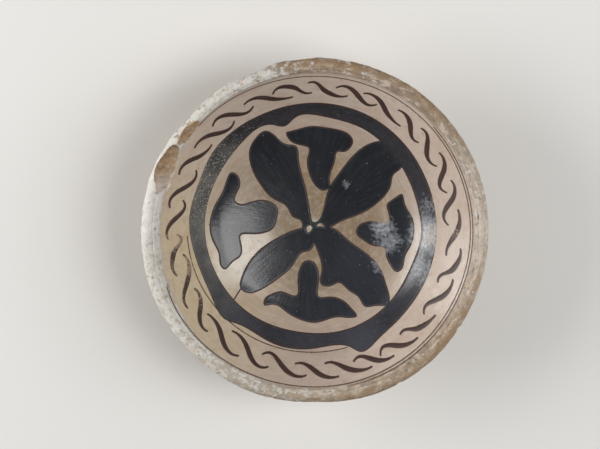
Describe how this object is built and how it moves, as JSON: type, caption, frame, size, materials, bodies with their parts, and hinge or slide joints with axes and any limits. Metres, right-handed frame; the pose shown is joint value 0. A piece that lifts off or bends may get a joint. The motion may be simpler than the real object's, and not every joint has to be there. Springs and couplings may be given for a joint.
{
  "type": "painted earthenware bowl",
  "caption": "Shallow wheel-thrown earthenware bowl on a ring foot, pale slip inside, painted in black and brown with a petal rosette, a broad band and a running wave under the lip.",
  "frame": {"origin": "on the table, at the middle of the bowl's outline in plan and at the bottom of its foot", "axes": "+Z up along the bowl's axis; +X right and +Y up as the picture shows the bowl's inside"},
  "size_m": [0.15, 0.15, 0.045],
  "materials": {
    "clay": "matt fired buff clay, turned on the wheel",
    "slip": "thin pale slip, lightly burnished",
    "black_paint": "thick blue-black slip paint, satin, with pinholes",
    "brown_paint": "thin brown-black slip paint, matt"
  },
  "bodies": {
    "root": {"bowl_body": "clay", "foot_ring": "clay", "slip_coat": "slip", "broad_band": "black_paint", "petal_upper_left": "black_paint", "petal_upper_right": "black_paint", "petal_lower_right": "black_paint", "petal_lower_left": "black_paint", "bud_top": "black_paint", "bud_right": "black_paint", "bud_bottom": "black_paint", "bud_left": "black_paint", "band_guide_line": "brown_paint", "rim_line": "brown_paint", "rim_line_second_pass": "brown_paint", "wave_stroke_01": "brown_paint", "wave_stroke_02": "brown_paint", "wave_stroke_03": "brown_paint", "wave_stroke_04": "brown_paint", "wave_stroke_05": "brown_paint", "wave_stroke_06": "brown_paint", "wave_stroke_07": "brown_paint", "wave_stroke_08": "brown_paint", "wave_stroke_09": "brown_paint", "wave_stroke_10": "brown_paint", "wave_stroke_11": "brown_paint", "wave_stroke_12": "brown_paint", "wave_stroke_13": "brown_paint", "wave_stroke_14": "brown_paint", "wave_stroke_15": "brown_paint", "wave_stroke_16": "brown_paint", "wave_stroke_17": "brown_paint", "wave_stroke_18": "brown_paint", "wave_stroke_19": "brown_paint", "wave_stroke_20": "brown_paint", "wave_stroke_21": "brown_paint", "wave_stroke_22": "brown_paint", "wave_stroke_23": "brown_paint", "wave_stroke_24": "brown_paint", "wave_stroke_25": "brown_paint", "wave_stroke_26": "brown_paint", "wave_stroke_27": "brown_paint", "wave_stroke_28": "brown_paint"}
  },
  "joints": []
}
